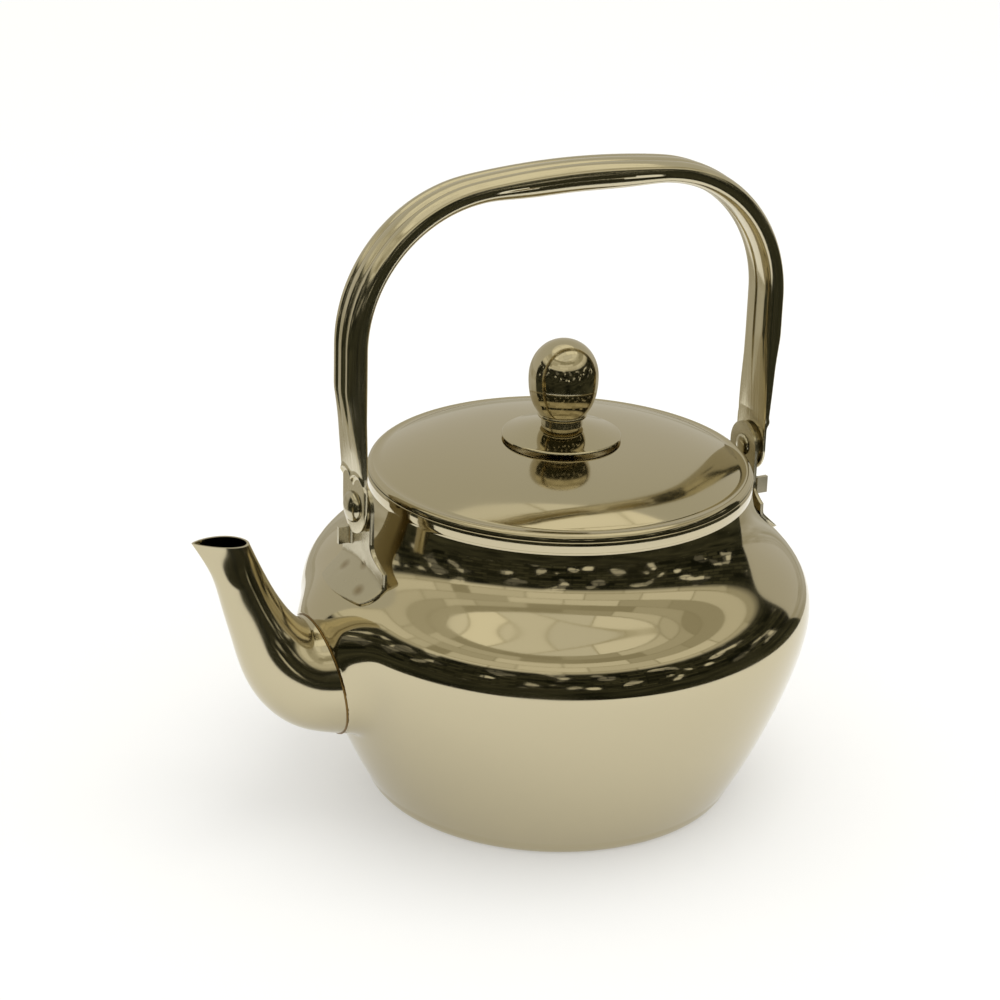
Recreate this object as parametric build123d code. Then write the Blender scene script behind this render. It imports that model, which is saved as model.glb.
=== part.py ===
from build123d import *
import os
from math import cos, pi, radians, sin, sqrt

# A two-litre stove kettle in pressed stainless steel: a round pot with a welded spout,
# a lift-off lid with an egg knob, and a bail handle that swings on two riveted brackets.
# Millimetres, +Z up, origin in the middle of the flat base. The spout points along -X and
# the bail swings about the X axis.

# Pot
belly_radius = 90.0
belly_height = 69.0
base_flat_radius = 63.0
corner_radius_out = 67.0
corner_height = 4.5
neck_radius = 67.0
neck_height = 113.0
rim_radius = 67.4
rim_top = 116.9
sheet = 0.9
hem_round = 0.5

# Lid
lid_radius = 67.0
lid_edge_height = 117.2
lid_crown_height = 128.6
lid_sheet = 0.8
lid_border_radius = 61.5
lid_border_rise = 1.9
skirt_radius = neck_radius - sheet - 0.6
skirt_drop = 9.0
skirt_sheet = 0.8
skirt_gap = 0.25

# Knob
saucer_radius = 20.8
saucer_rim_height = 129.2
saucer_top = 133.4
saucer_sheet = 0.8
egg_bottom = 136.0
egg_widest = 150.5
egg_top = 163.8
egg_radius = 12.1
egg_foot_radius = 7.8
boss_radius = 5.0
boss_reach = 5.0
screw_radius = 2.0
screw_hole_radius = 2.1
screw_top = saucer_top + 6.0
screw_head_radius = 3.6
screw_head_height = 2.2
washer_thickness = 0.8
washer_gap = 0.06

# Bail
pivot_height = 114.5
bail_half_width = 80.0
bail_width = 16.8
bail_depth = 8.0
bail_sheet = 0.9
bail_corner_radius = 50.0
bail_leg_top = 171.0
bail_shoulder_angle = 82.0
grip_half_length = 36.0
grip_depth = 10.4
end_plate_x = 77.9
end_plate_width = 18.6
end_plate_thickness = 1.6
taper_bottom = pivot_height + 13.0
taper_top = pivot_height + 42.0

# Brackets and rivets
bracket_sheet = 1.5
bracket_inner_x = 74.6
bracket_half_width = 8.5
upright_bottom = 95.5
foot_half_width = 17.0
foot_length_x = 30.0
foot_top = 97.0
foot_bottom = 85.5
foot_gap = 0.05
stop_top = 104.5
stop_drop = 6.5
stop_length = 6.6
rivet_shank_radius = 2.5
rivet_head_radius = 5.5
rivet_head_height = 2.6
rivet_hole_radius = rivet_shank_radius + 0.06
peen_radius = 3.9
peen_height = 1.2
washer_radius = 7.0
washer_play = 0.1

# Spout: the outer and inner edge of each section, as (x, z), and half its width along Y
spout_sections = [
    ((-136.5, 110.5), (-116.5, 108.0), 6.0),
    ((-129.5, 97.5), (-112.5, 99.0), 7.5),
    ((-126.0, 86.0), (-107.5, 89.0), 9.5),
    ((-121.5, 70.0), (-101.5, 80.0), 12.5),
    ((-114.5, 51.5), (-98.0, 76.5), 16.5),
    ((-102.0, 38.5), (-96.0, 75.5), 19.5),
    ((-86.5, 33.0), (-94.0, 75.5), 21.5),
]
collar_root = ((-70.0, 30.0), (-72.0, 78.5), 24.5)
spout_sheet = 0.9
section_points = 12
spout_spans = 14


def mirrored(pieces):
    """The same pieces turned half a turn about the pot's axis."""
    return pieces.rotate(Axis.Z, 180)


def revolve_outline(build):
    """A solid of revolution from a closed outline drawn as (radius, height)."""
    return revolve(make_face(build), Axis.Z)


def rod(radius, low, high):
    """An upright cylinder on the pot's axis between two heights."""
    middle = (low + high) / 2
    return Pos(0, 0, middle) * Cylinder(radius, high - low)


def cross_rod(x, radius, length):
    """A cylinder along X on the bail's pivot line, with its middle at x."""
    return Pos(x, 0, pivot_height) * Rot(0, 90, 0) * Cylinder(radius, length)


def pot_outline(inset):
    """Half outline of the pot, from the axis across the base and up to the rim."""
    lower = inset * 0.45
    with BuildLine(Plane.XZ) as line:
        Polyline((0, inset), (base_flat_radius - inset, inset))
        Bezier(
            (base_flat_radius - inset, inset),
            (corner_radius_out - 1.4 - inset, inset),
            (corner_radius_out - inset, corner_height + lower),
        )
        Bezier(
            (corner_radius_out - inset, corner_height + lower),
            (corner_radius_out + 9.0 - inset, corner_height + 15.5 + lower),
            (belly_radius - inset, belly_height - 15.0),
            (belly_radius - inset, belly_height),
        )
        Bezier(
            (belly_radius - inset, belly_height),
            (belly_radius - inset, belly_height + 21.0 - lower),
            (neck_radius + 1.8 - inset, neck_height - 25.0 - lower),
            (neck_radius - inset, neck_height),
        )
        Line((neck_radius - inset, neck_height), (neck_radius - inset, rim_top))
        Line((neck_radius - inset, rim_top), (0, rim_top))
        Line((0, rim_top), (0, inset))
    return line.line


def section_face(outer, inner, half_width, inset=0.0):
    """One oval section of the spout, square to the plane of symmetry and drawn in by an inset.

    A point at angle t stands half the length times cos t along the section and half the width
    times sin t across it.
    """
    length = sqrt((outer[0] - inner[0]) ** 2 + (outer[1] - inner[1]) ** 2)
    middle = ((outer[0] + inner[0]) / 2, 0, (outer[1] + inner[1]) / 2)
    across = (inner[0] - outer[0], 0, inner[1] - outer[1])
    plane = Plane(origin=middle, x_dir=across, z_dir=(-across[2], 0, across[0]))
    angles = [2 * pi * step / section_points for step in range(section_points)]
    points = [((length / 2 - inset) * cos(t), (half_width - inset) * sin(t)) for t in angles]
    return (plane * make_face(Spline(*points, periodic=True))).face()


def stacked_loft(faces):
    """One solid through a row of sections, span by span."""
    spans = [loft(pair, ruled=True) for pair in zip(faces, faces[1:])]
    return spans[0].fuse(*spans[1:])


def spout_loft(inset):
    """The spout through sections read from two smooth edges, from the collar to the mouth."""
    rows = list(reversed(spout_sections))
    outer_edge = Spline(*[(outer[0], width, outer[1]) for outer, inner, width in rows])
    inner_edge = Spline(*[(inner[0], width, inner[1]) for outer, inner, width in rows])
    faces = []
    for step in range(spout_spans + 1):
        outer = outer_edge @ (step / spout_spans)
        inner = inner_edge @ (step / spout_spans)
        faces.append(section_face((outer.X, outer.Z), (inner.X, inner.Z), (outer.Y + inner.Y) / 2, inset))
    return stacked_loft(faces)


def collar_loft(inset):
    """The short neck drawn out of the pot wall that the spout is welded to."""
    return stacked_loft([section_face(*collar_root, inset), section_face(*spout_sections[-1], inset)])


def make_pot():
    """The pressed pot with its hemmed rim and the collar drawn out for the spout."""
    outside = revolve_outline(pot_outline(0))
    inside = revolve_outline(pot_outline(sheet))
    collar = collar_loft(0)
    bore = collar_loft(spout_sheet)
    hem = rod(rim_radius, neck_height, rim_top)
    hem = fillet(hem.edges().group_by(Axis.Z)[-1], hem_round)
    mouth = Cylinder(neck_radius - sheet, rim_top * 2)
    return (outside + collar + hem) - inside - bore - (Pos(0, 0, rim_top) * mouth & hem)


def make_spout():
    """The pressed spout, open from the collar to the slanted pouring lip."""
    return spout_loft(0) - spout_loft(spout_sheet)


def lid_outline():
    """Closed outline of the lid sheet: a shallow dome, a narrow flat border, a rolled-down edge."""
    t = lid_sheet
    border = lid_edge_height + lid_border_rise
    knee = (lid_border_radius, border)
    with BuildLine(Plane.XZ) as line:
        Bezier(
            (0, lid_crown_height),
            (lid_border_radius * 0.40, lid_crown_height),
            (lid_border_radius * 0.68, lid_crown_height - 1.4),
            knee,
        )
        Bezier(
            knee,
            (lid_radius - 2.0, border - 0.3),
            (lid_radius, border - 0.4),
            (lid_radius, lid_edge_height),
        )
        Line((lid_radius, lid_edge_height), (lid_radius - t, lid_edge_height))
        Bezier(
            (lid_radius - t, lid_edge_height),
            (lid_radius - t, border - t),
            (lid_radius - 2.5, border - t),
            (knee[0] + 0.1, border - t),
        )
        Bezier(
            (knee[0] + 0.1, border - t),
            (lid_border_radius * 0.68, lid_crown_height - 1.4 - t),
            (lid_border_radius * 0.40, lid_crown_height - t),
            (0, lid_crown_height - t),
        )
        Line((0, lid_crown_height - t), (0, lid_crown_height))
    return line.line


def make_lid():
    """The domed lid sheet with a hole for the knob screw."""
    hole = Pos(0, 0, lid_crown_height) * Cylinder(screw_hole_radius, 6)
    return revolve_outline(lid_outline()) - hole


def make_lid_skirt():
    """The ring spot-welded under the lid's border, with a skirt that centres it in the neck."""
    high = lid_edge_height + lid_border_rise - lid_sheet - skirt_gap
    wall = skirt_radius - skirt_sheet
    with BuildLine(Plane.XZ) as line:
        Polyline(
            (wall, high - skirt_drop),
            (skirt_radius, high - skirt_drop),
            (skirt_radius, high - skirt_sheet),
            (skirt_radius - skirt_sheet, high),
            (lid_border_radius + 0.8, high),
            (lid_border_radius + 0.8, high - skirt_sheet),
            (wall, high - skirt_sheet),
            (wall, high - skirt_drop),
        )
    return revolve_outline(line.line)


def saucer_outline():
    """Closed outline of the knob's saucer: a shallow cone whose edge rolls down."""
    t = saucer_sheet
    knee = (saucer_radius - 2.4, saucer_rim_height + 2.6)
    with BuildLine(Plane.XZ) as line:
        Polyline((screw_hole_radius, saucer_top), (egg_foot_radius - 1.0, saucer_top), knee)
        Bezier(knee, (saucer_radius, saucer_rim_height + 1.7), (saucer_radius, saucer_rim_height))
        Line((saucer_radius, saucer_rim_height), (saucer_radius - t, saucer_rim_height))
        Bezier(
            (saucer_radius - t, saucer_rim_height),
            (saucer_radius - t, saucer_rim_height + 1.7 - t),
            (knee[0], knee[1] - t),
        )
        Polyline(
            (knee[0], knee[1] - t),
            (egg_foot_radius - 1.0, saucer_top - t),
            (screw_hole_radius, saucer_top - t),
            (screw_hole_radius, saucer_top),
        )
    return line.line


def egg_outline(inset):
    """Half outline of the egg knob, widest above its middle, with a small flat foot."""
    with BuildLine(Plane.XZ) as line:
        Line((0, egg_bottom + inset), (egg_foot_radius - inset, egg_bottom + inset))
        Bezier(
            (egg_foot_radius - inset, egg_bottom + inset),
            (egg_foot_radius + 2.6 - inset, egg_bottom + 3.8),
            (egg_radius - inset, egg_widest - 6.0),
            (egg_radius - inset, egg_widest),
        )
        Bezier(
            (egg_radius - inset, egg_widest),
            (egg_radius - inset, egg_widest + 7.4),
            (7.0 - inset * 0.6, egg_top - inset),
            (0, egg_top - inset),
        )
        Line((0, egg_top - inset), (0, egg_bottom + inset))
    return line.line


def make_knob_egg():
    """The hollow pressed egg with a hole in its foot for the boss."""
    hole = Pos(0, 0, egg_bottom) * Cylinder(boss_radius, 4)
    return revolve_outline(egg_outline(0)) - revolve_outline(egg_outline(0.8)) - hole


def make_knob_boss():
    """The turned boss that carries the egg and takes the screw."""
    foot = rod(egg_foot_radius - 0.6, saucer_top, egg_bottom)
    stem = rod(boss_radius, saucer_top, egg_bottom + boss_reach)
    thread = rod(screw_radius, saucer_top, screw_top + 0.4)
    return foot + stem - thread


def make_knob_spacer():
    """The collar between the lid and the saucer."""
    low = lid_crown_height
    high = saucer_top - saucer_sheet
    return rod(boss_radius, low, high) - rod(screw_hole_radius, low, high)


def make_screw_washer():
    """The washer under the lid."""
    high = lid_crown_height - lid_sheet - washer_gap
    low = high - washer_thickness
    return rod(boss_radius, low, high) - rod(screw_hole_radius, low, high)


def make_knob_screw():
    """The round-head screw that clamps lid, spacer, saucer and boss together."""
    under_head = lid_crown_height - lid_sheet - washer_gap - washer_thickness
    shank = rod(screw_radius, under_head, screw_top)
    head = rod(screw_head_radius, under_head - screw_head_height, under_head)
    head = fillet(head.edges().group_by(Axis.Z)[0], screw_head_height / 2)
    slot = Pos(0, 0, under_head - screw_head_height) * Box(3 * screw_head_radius, 0.9, screw_head_height)
    return shank + head - slot


def bail_path():
    """Where each corner arc of the bail ends, and the radius of the crown between them."""
    turn = radians(bail_shoulder_angle)
    corner_end = (
        bail_half_width - bail_corner_radius * (1 - cos(turn)),
        bail_leg_top + bail_corner_radius * sin(turn),
    )
    crown_radius = corner_end[0] / cos(turn)
    return corner_end, crown_radius


def bail_line(offset=0.0, start=taper_top):
    """The whole arch moved outwards by an offset: two legs, two corner arcs, one crown arc."""
    corner_end, crown_radius = bail_path()
    turn = radians(bail_shoulder_angle)
    x_leg = bail_half_width + offset
    x_end = corner_end[0] + offset * cos(turn)
    z_end = corner_end[1] + offset * sin(turn)
    half_turn = turn / 2
    x_mid = bail_half_width - bail_corner_radius + (bail_corner_radius + offset) * cos(half_turn)
    z_mid = bail_leg_top + (bail_corner_radius + offset) * sin(half_turn)
    z_top = corner_end[1] - crown_radius * sin(turn) + crown_radius + offset
    line = Line((-x_leg, 0, start), (-x_leg, 0, bail_leg_top))
    line += ThreePointArc((-x_leg, 0, bail_leg_top), (-x_mid, 0, z_mid), (-x_end, 0, z_end))
    line += ThreePointArc((-x_end, 0, z_end), (0, 0, z_top), (x_end, 0, z_end))
    line += ThreePointArc((x_end, 0, z_end), (x_mid, 0, z_mid), (x_leg, 0, bail_leg_top))
    line += Line((x_leg, 0, bail_leg_top), (x_leg, 0, start))
    return line, z_top


def arch_solid(outer_offset, inner_offset, half_width, start):
    """A flat bar bent to the arch, between two offsets from its centre line."""
    outer, top = bail_line(outer_offset, start)
    inner, low = bail_line(inner_offset, start)
    x_out = bail_half_width + outer_offset
    x_in = bail_half_width + inner_offset
    feet = Line((-x_out, 0, start), (-x_in, 0, start)) + Line((x_in, 0, start), (x_out, 0, start))
    face = make_face(outer + inner + feet)
    return extrude(face, half_width, both=True)


def grip_solid(inset):
    """The deeper lower half of the folded grip, a long shallow lens under the crown."""
    crown_radius = bail_path()[1]
    crown = bail_line()[1]
    inner_top = crown - bail_depth / 2 + 0.4 - inset
    low = crown + bail_depth / 2 - grip_depth + inset
    drop = crown_radius - sqrt(crown_radius**2 - grip_half_length**2)
    reach = grip_half_length - inset * 3
    ends = inner_top - drop
    outline = ThreePointArc((-reach, 0, ends), (0, 0, inner_top), (reach, 0, ends))
    outline += Bezier((reach, 0, ends), (reach * 0.72, 0, low), (reach * 0.35, 0, low), (0, 0, low))
    outline += Bezier((0, 0, low), (-reach * 0.35, 0, low), (-reach * 0.72, 0, low), (-reach, 0, ends))
    return extrude(make_face(outline), bail_width / 2 - 1.2 - inset, both=True)


def end_plate(side):
    """One flattened end of the bail: a round foot with the rivet hole, and the run up to the full section."""
    plate_height = taper_bottom - pivot_height
    plate = Pos(side * end_plate_x, 0, pivot_height + plate_height / 2) * Box(
        end_plate_thickness, end_plate_width, plate_height
    )
    flat_end = Pos(side * end_plate_x, 0, taper_bottom) * Rectangle(end_plate_thickness, end_plate_width)
    deep_end = Pos(side * bail_half_width, 0, taper_top) * Rectangle(bail_depth, bail_width)
    taper = loft([flat_end, deep_end])
    disc = cross_rod(side * end_plate_x, end_plate_width / 2, end_plate_thickness)
    hole = cross_rod(side * end_plate_x, rivet_hole_radius, 3 * end_plate_thickness)
    return plate + disc + taper - hole


def make_bail():
    """The folded, hollow strip handle with closed, flattened ends."""
    start = taper_top
    half = bail_depth / 2
    bar = arch_solid(half, -half, bail_width / 2, start)
    inside = half - bail_sheet
    hollow = arch_solid(inside, -inside, bail_width / 2 - bail_sheet, start + bail_sheet)
    shell = bar + grip_solid(0) - hollow - grip_solid(bail_sheet)
    return shell + end_plate(-1) + end_plate(1)


def make_bracket_front():
    """The stamped bracket on the spout side: a foot formed to the shoulder, an upright and a stop."""
    t = bracket_sheet
    skin = revolve_outline(pot_outline(-foot_gap - t)) - revolve_outline(pot_outline(-foot_gap))
    block = Box(2 * foot_length_x, 2 * foot_half_width, foot_top - foot_bottom)
    foot = skin & (Pos(-belly_radius, 0, (foot_top + foot_bottom) / 2) * block)
    centre_x = -(bracket_inner_x + t / 2)
    strip = Box(t, 2 * bracket_half_width, pivot_height - upright_bottom)
    upright = Pos(centre_x, 0, (upright_bottom + pivot_height) / 2) * strip
    head = cross_rod(centre_x, bracket_half_width, t)
    tab = Box(stop_length, t, stop_drop)
    stop_x = -(bracket_inner_x + stop_length / 2)
    stop = Pos(stop_x, bracket_half_width - t / 2, stop_top - stop_drop / 2) * tab
    return foot + upright + head + stop - cross_rod(centre_x, rivet_hole_radius, 3 * t)


def make_rivet_front():
    """The shouldered rivet: domed head outside, shank through, small peened end inside."""
    inner = bracket_inner_x - 0.1
    outer = end_plate_x + end_plate_thickness / 2 + 0.1
    shank = cross_rod(-(inner + outer) / 2, rivet_shank_radius, outer - inner)
    dome_radius = (rivet_head_radius**2 + rivet_head_height**2) / (2 * rivet_head_height)
    depth = dome_radius - rivet_head_height
    cap = Sphere(dome_radius) & rod(dome_radius, depth, dome_radius)
    head = Pos(-outer + depth, 0, pivot_height) * Rot(0, -90, 0) * cap
    return shank + head + cross_rod(peen_height / 2 - inner, peen_radius, peen_height)


def make_pivot_washer_front():
    """The flat washer between the bracket and the bail's end."""
    low = bracket_inner_x + bracket_sheet
    high = end_plate_x - end_plate_thickness / 2
    thickness = high - low - washer_play
    middle = -(low + thickness / 2)
    return cross_rod(middle, washer_radius, thickness) - cross_rod(middle, rivet_hole_radius, thickness)


os.makedirs("parts", exist_ok=True)
bracket_front = make_bracket_front()
rivet_front = make_rivet_front()
washer_front = make_pivot_washer_front()
nodes = {
    "pot_body": make_pot(),
    "spout": make_spout(),
    "bracket_front": bracket_front,
    "bracket_rear": mirrored(bracket_front),
    "pivot_rivet_front": rivet_front,
    "pivot_rivet_rear": mirrored(rivet_front),
    "pivot_washer_front": washer_front,
    "pivot_washer_rear": mirrored(washer_front),
    "bail_handle": make_bail(),
    "lid_shell": make_lid(),
    "lid_skirt": make_lid_skirt(),
    "knob_egg": make_knob_egg(),
    "knob_saucer": revolve_outline(saucer_outline()),
    "knob_boss": make_knob_boss(),
    "knob_spacer": make_knob_spacer(),
    "knob_screw": make_knob_screw(),
    "knob_screw_washer": make_screw_washer(),
}
for name, shape in nodes.items():
    export_step(shape, f"parts/{name}.step")
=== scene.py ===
from math import cos, radians, sin

import bmesh
import bpy
import numpy as np
from bpy.props import FloatProperty, FloatVectorProperty, PointerProperty
from mathutils import Matrix, Vector


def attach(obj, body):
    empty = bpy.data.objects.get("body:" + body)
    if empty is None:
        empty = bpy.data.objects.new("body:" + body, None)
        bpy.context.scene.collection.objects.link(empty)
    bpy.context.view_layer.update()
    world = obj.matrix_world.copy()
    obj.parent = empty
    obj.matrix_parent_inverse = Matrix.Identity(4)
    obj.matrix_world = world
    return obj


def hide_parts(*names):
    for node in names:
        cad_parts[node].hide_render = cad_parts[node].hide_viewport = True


# A two-litre stove kettle in pressed, mirror-polished stainless steel.
# Metres, +Z up, origin in the middle of the base. The spout points along -X and the bail
# swings about the X axis.

bl_info = {
    "name": "Stainless stove kettle",
    "version": (1, 0, 0),
    "blender": (4, 5, 0),
    "location": "3D View > Sidebar > Kettle",
    "description": "Builds the polished pieces of a stove kettle around its CAD frame",
    "category": "Object",
}

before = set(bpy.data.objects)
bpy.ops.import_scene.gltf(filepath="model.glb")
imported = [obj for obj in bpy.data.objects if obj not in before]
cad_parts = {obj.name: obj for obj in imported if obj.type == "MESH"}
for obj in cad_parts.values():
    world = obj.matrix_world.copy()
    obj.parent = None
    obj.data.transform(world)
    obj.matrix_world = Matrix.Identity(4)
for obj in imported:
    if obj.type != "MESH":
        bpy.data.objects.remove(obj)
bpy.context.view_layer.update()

MM = 0.001
FLOOR_LIFT = 0.3
ROOM_HEIGHT = 3.2
ROOM_RADIUS = 2.2
TABLE_RADIUS = 0.3
MERGE_DISTANCE = 0.002 * MM
TURN = 2 * np.pi

# Half angle and middle angle in degrees of what stands round the kettle
ROOM_SPAN = (112, -107)
BACKDROP_SPAN = (68, 73)
FULL_SPAN = (180, 0)


def linear_colour(code):
    """Linear RGB from an sRGB hex code."""
    values = np.array([int(code[i : i + 2], 16) for i in (1, 3, 5)]) / 255
    return tuple(np.where(values <= 0.04045, values / 12.92, ((values + 0.055) / 1.055) ** 2.4))


def length_setting(name, description, default):
    """A length in metres that the sidebar shows with its unit."""
    return FloatProperty(name=name, description=description, default=default, unit="LENGTH", precision=5)


def colour_setting(name, description, code):
    """A colour that the sidebar shows as a swatch."""
    return FloatVectorProperty(
        name=name, description=description, default=linear_colour(code), subtype="COLOR", size=3, min=0, max=1
    )


class KettlePotSizes(bpy.types.PropertyGroup):
    """Sizes of the pot and of the collar drawn out for the spout."""

    base_flat: length_setting("Base flat", "Radius of the flat the pot stands on", 63 * MM)
    corner_radius: length_setting("Corner", "Radius where the base turns up into the wall", 67 * MM)
    corner_height: length_setting("Corner height", "Height of that turn", 4.5 * MM)
    belly_radius: length_setting("Belly", "Radius at the widest place", 90 * MM)
    belly_height: length_setting("Belly height", "Height of the widest place", 69 * MM)
    neck_radius: length_setting("Neck", "Radius of the neck", 67 * MM)
    neck_height: length_setting("Neck height", "Height of the step under the rim", 113 * MM)
    rim_radius: length_setting("Rim", "Radius of the hemmed rim", 67.4 * MM)
    rim_top: length_setting("Rim top", "Height of the rim", 116.9 * MM)
    sheet: length_setting("Sheet", "Thickness of the pot's sheet", 0.9 * MM)


class KettleSpoutSizes(bpy.types.PropertyGroup):
    """Sizes of the spout and its weld."""

    sheet: length_setting("Sheet", "Thickness of the spout's sheet", 0.9 * MM)
    lip_reach: length_setting("Lip", "Length over which the mouth draws to a point", 16 * MM)
    weld_radius: length_setting("Weld", "Radius of the weld bead round the root", 0.4 * MM)


class KettleBailSizes(bpy.types.PropertyGroup):
    """Sizes of the swinging handle, its brackets and its rivets."""

    pivot_height: length_setting("Pivot height", "Height of the two rivets", 114.5 * MM)
    half_width: length_setting("Half width", "Distance of each leg's middle from the pot's axis", 80 * MM)
    strip_width: length_setting("Strip width", "Width of the folded strip", 16.8 * MM)
    depth: length_setting("Depth", "Thickness of the folded strip", 8 * MM)
    grip_depth: length_setting("Grip depth", "Thickness in the middle of the grip", 10.4 * MM)
    grip_half: length_setting("Grip half length", "Half length of the deeper grip", 36 * MM)
    end_x: length_setting("End place", "Distance of each flattened end from the pot's axis", 77.9 * MM)
    end_width: length_setting("End width", "Width of the flattened ends", 18.6 * MM)
    plate: length_setting("End plate", "Thickness of the flattened ends", 1.6 * MM)
    taper_low: length_setting("Taper foot", "Height over the pivot where the end starts to open", 13 * MM)
    taper_high: length_setting("Taper head", "Height over the pivot where the strip is fully deep", 42 * MM)
    corner_radius: length_setting("Corner radius", "Bend between a leg and the crown", 50 * MM)
    leg_top: length_setting("Leg top", "Height where the bend starts", 171 * MM)
    shoulder_angle: FloatProperty(
        name="Shoulder angle",
        description="How far each bend turns before the crown",
        default=radians(82),
        unit="ROTATION",
    )
    bracket_sheet: length_setting("Bracket sheet", "Thickness of the brackets", 1.5 * MM)
    bracket_x: length_setting("Bracket place", "Inner face of the upright strip", 74.6 * MM)
    bracket_half: length_setting("Bracket half width", "Half width of the upright strip", 8.5 * MM)
    foot_half: length_setting("Foot half width", "Half width of the bracket's foot", 17 * MM)
    foot_shift: length_setting("Foot shift", "How far the foot lies off the middle of its upright", 2.5 * MM)
    bracket_edge: length_setting("Bracket edge", "Radius rolled on the bracket's edges", 0.7 * MM)
    foot_bottom: length_setting("Foot bottom", "Height of the foot's lower edge", 85.5 * MM)
    foot_top: length_setting("Foot top", "Height where the foot starts to narrow", 96.5 * MM)
    foot_corner: length_setting("Foot corner", "Radius of the foot's lower corners", 4.5 * MM)
    foot_waist: length_setting("Foot waist", "Height over which the foot narrows to the upright", 7 * MM)
    tab_bottom: length_setting("Tab bottom", "Height of the stop tab's lower edge", 98.2 * MM)
    tab_top: length_setting("Tab top", "Height of the stop tab's upper edge", 104.3 * MM)
    tab_reach: length_setting("Tab reach", "How far the stop tab stands out", 5.4 * MM)
    rivet_head: length_setting("Rivet head", "Radius of the rivet's head", 5.5 * MM)


class KettleLidSizes(bpy.types.PropertyGroup):
    """Sizes of the lid and its knob."""

    radius: length_setting("Lid radius", "Radius of the lid's edge", 67 * MM)
    edge_height: length_setting("Edge height", "Height of the lid's cut edge", 117.2 * MM)
    border_radius: length_setting("Border", "Radius where the dome meets the border", 63.6 * MM)
    border_height: length_setting("Border height", "Height of the border", 119.1 * MM)
    crown_height: length_setting("Crown", "Height of the middle of the lid", 128.6 * MM)
    sheet: length_setting("Sheet", "Thickness of the lid's sheet", 0.8 * MM)
    saucer_radius: length_setting("Saucer", "Radius of the knob's saucer", 20.8 * MM)
    saucer_low: length_setting("Saucer edge", "Height of the saucer's cut edge", 129.3 * MM)
    saucer_top: length_setting("Saucer top", "Height of the saucer's middle", 133.4 * MM)
    egg_radius: length_setting("Egg", "Radius of the egg knob", 12.1 * MM)
    egg_bottom: length_setting("Egg bottom", "Height of the egg's foot", 136 * MM)
    egg_widest: length_setting("Egg widest", "Height of the egg's widest place", 150.5 * MM)
    egg_top: length_setting("Egg top", "Height of the egg's top", 163.8 * MM)


class KettleFinishes(bpy.types.PropertyGroup):
    """Colours of the metal and of the stage."""

    polished: colour_setting("Polished steel", "Mirror-polished stainless steel", "#C2B89B")
    strip: colour_setting("Strip steel", "Rolled strip of the handle", "#C8BFA3")
    stamped: colour_setting("Stamped steel", "Sheet of the brackets", "#C0B89F")
    heat_tint: colour_setting("Heat tint", "Browned steel round welds", "#7A6238")
    floor: colour_setting("Floor", "Pale floor", "#DCDCDA")
    light: colour_setting("Light", "Soft light of the studio", "#FFFEFB")
    backdrop: colour_setting("Backdrop", "Grey sheet behind the kettle", "#CCC8BC")
    backdrop_top: colour_setting("Backdrop top", "The same sheet higher up", "#C9C6B9")
    room_dark: colour_setting("Room", "Dark screen that the polished metal mirrors", "#15170F")
    room_green: colour_setting("Room green", "Middle tone of that screen", "#4A4938")
    room_middle: colour_setting("Room middle", "Middle tone of its pale panels", "#A69F86")
    room_light: colour_setting("Room light", "Pale panels on that screen", "#F0EBD8")


# Shapes worked out as whole arrays


def bezier(points, count):
    """Points of a Bezier curve: neighbours are blended again and again, for all steps at once."""
    t = np.linspace(0, 1, count)[:, None]
    rows = [np.asarray(point, float) * np.ones_like(t) for point in points]
    while len(rows) > 1:
        rows = [(1 - t) * a + t * b for a, b in zip(rows, rows[1:])]
    return rows[0]


def chain(*runs):
    """Runs of points joined end to end; each run starts on the last point of the one before."""
    return np.concatenate([runs[0]] + [run[1:] for run in runs[1:]])


def smoothstep(t):
    """Rises from 0 to 1 as 3t squared less 2t cubed, flat outside 0 to 1."""
    t = np.clip(t, 0, 1)
    return t * t * (3 - 2 * t)


def inset(outline, distance):
    """The outline moved to its left by a distance, each point along the normal of its neighbours' chord."""
    along = np.gradient(outline, axis=0)
    along /= np.maximum(np.linalg.norm(along, axis=1, keepdims=True), 1e-12)
    return outline + distance * np.stack([-along[:, 1], along[:, 0]], -1)


def turned(outline, angles):
    """A point at radius r and height z goes to (r cos a, r sin a, z) for each angle a."""
    radius, height = outline[:, 0, None], outline[:, 1, None]
    return np.stack([radius * np.cos(angles), radius * np.sin(angles), height + 0 * angles], -1)


def even_angles(count):
    """Angles spread evenly over one turn."""
    return np.linspace(0, TURN, count, endpoint=False)


def spline_rows(rows, count):
    """A natural cubic through the rows: its bends solve the system that keeps the slopes continuous."""
    rows = np.asarray(rows, float)
    middle = (rows[:, 0:2] + rows[:, 2:4]) / 2
    place = np.concatenate([[0], np.cumsum(np.linalg.norm(np.diff(middle, axis=0), axis=1))])
    step = np.diff(place)
    size = len(rows)
    system = np.eye(size)
    right = np.zeros_like(rows)
    inner = np.arange(1, size - 1)
    system[inner, inner - 1] = step[:-1]
    system[inner, inner] = 2 * (step[:-1] + step[1:])
    system[inner, inner + 1] = step[1:]
    chord = np.diff(rows, axis=0) / step[:, None]
    right[inner] = 6 * (chord[1:] - chord[:-1])
    bend = np.linalg.solve(system, right)
    at = np.linspace(0, place[-1], count)
    span = np.clip(np.searchsorted(place, at, side="right") - 1, 0, size - 2)
    a = ((place[span + 1] - at) / step[span])[:, None]
    b = 1 - a
    h = step[span][:, None]
    curve = a * rows[span] + b * rows[span + 1]
    return curve + ((a**3 - a) * bend[span] + (b**3 - b) * bend[span + 1]) * h * h / 6


def grid_faces(index):
    """Quads between neighbouring rows and columns of a grid of point numbers."""
    return np.stack([index[:-1, :-1], index[:-1, 1:], index[1:, 1:], index[1:, :-1]], -1).reshape(-1, 4)


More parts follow.
